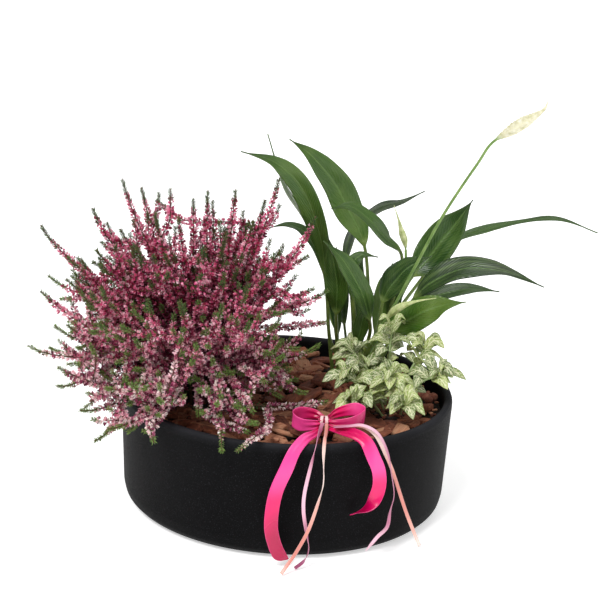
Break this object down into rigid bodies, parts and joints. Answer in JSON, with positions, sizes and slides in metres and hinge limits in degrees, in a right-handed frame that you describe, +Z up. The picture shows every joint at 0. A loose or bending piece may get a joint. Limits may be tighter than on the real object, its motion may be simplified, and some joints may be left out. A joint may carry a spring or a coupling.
{
  "type": "mixed planter bowl with heather, peace lily and fittonia",
  "caption": "Round matte black bowl planted with pink heather, a peace lily and a white-veined fittonia in bark mulch, with a pink satin bow on its rim.",
  "frame": {"origin": "centre of the bowl's flat underside, on the surface that it stands on", "axes": "+Z up, -Y to the front where the bow lies, +X to the right, along the planting's longest side, from the heather to the peace lily"},
  "size_m": [0.5118, 0.3263, 0.3743],
  "materials": {
    "pot": "matt black, faintly speckled",
    "soil": "damp potting soil",
    "bark": "rough reddish-brown bark chips",
    "clay": "dull fired clay pellets",
    "heather": "small matt pink and magenta flowers with green tips on woody stems",
    "lily_leaf": "glossy deep green leaf with pressed veins",
    "lily_bloom": "waxy cream bloom on a green stalk",
    "fittonia": "soft green leaf with white veins",
    "ribbon": "hot pink satin",
    "ribbon_knot": "pale pink satin tie",
    "strand_salmon": "thin salmon satin ribbon",
    "strand_mauve": "thin mauve pink satin ribbon"
  },
  "bodies": {
    "root": {"bark_mulch": "bark", "clay_pellets": "clay", "fittonia_sprig_1": "fittonia", "fittonia_sprig_2": "fittonia", "fittonia_sprig_3": "fittonia", "fittonia_sprig_4": "fittonia", "fittonia_sprig_5": "fittonia", "fittonia_sprig_6": "fittonia", "fittonia_sprig_7": "fittonia", "fittonia_sprig_8": "fittonia", "heather_spray_01": "heather", "heather_spray_02": "heather", "heather_spray_03": "heather", "heather_spray_04": "heather", "heather_spray_05": "heather", "heather_spray_06": "heather", "heather_spray_07": "heather", "heather_spray_08": "heather", "heather_spray_09": "heather", "heather_spray_10": "heather", "heather_spray_11": "heather", "heather_spray_12": "heather", "heather_spray_13": "heather", "heather_spray_14": "heather", "heather_spray_15": "heather", "heather_spray_16": "heather", "heather_spray_17": "heather", "heather_spray_18": "heather", "heather_spray_19": "heather", "heather_spray_20": "heather", "heather_spray_21": "heather", "heather_spray_22": "heather", "lily_bloom_low": "lily_bloom", "lily_bloom_small": "lily_bloom", "lily_bloom_tall": "lily_bloom", "lily_leaf_back_curl": "lily_leaf", "lily_leaf_front_left": "lily_leaf", "lily_leaf_front_right": "lily_leaf", "lily_leaf_left_arch": "lily_leaf", "lily_leaf_left_back": "lily_leaf", "lily_leaf_left_broad": "lily_leaf", "lily_leaf_left_low": "lily_leaf", "lily_leaf_mid_arch": "lily_leaf", "lily_leaf_mid_broad": "lily_leaf", "lily_leaf_mid_small": "lily_leaf", "lily_leaf_right_broad": "lily_leaf", "lily_leaf_right_long": "lily_leaf", "lily_leaf_right_tall": "lily_leaf", "lily_leaf_right_under": "lily_leaf", "lily_leaf_top_left": "lily_leaf", "pot": "pot", "ribbon_bow": "ribbon", "ribbon_knot": "ribbon_knot", "ribbon_strand_a": "strand_mauve", "ribbon_strand_b": "strand_salmon", "ribbon_strand_c": "strand_salmon", "ribbon_strand_d": "strand_mauve", "ribbon_tail_left": "ribbon", "ribbon_tail_right": "ribbon", "soil": "soil"}
  },
  "joints": []
}
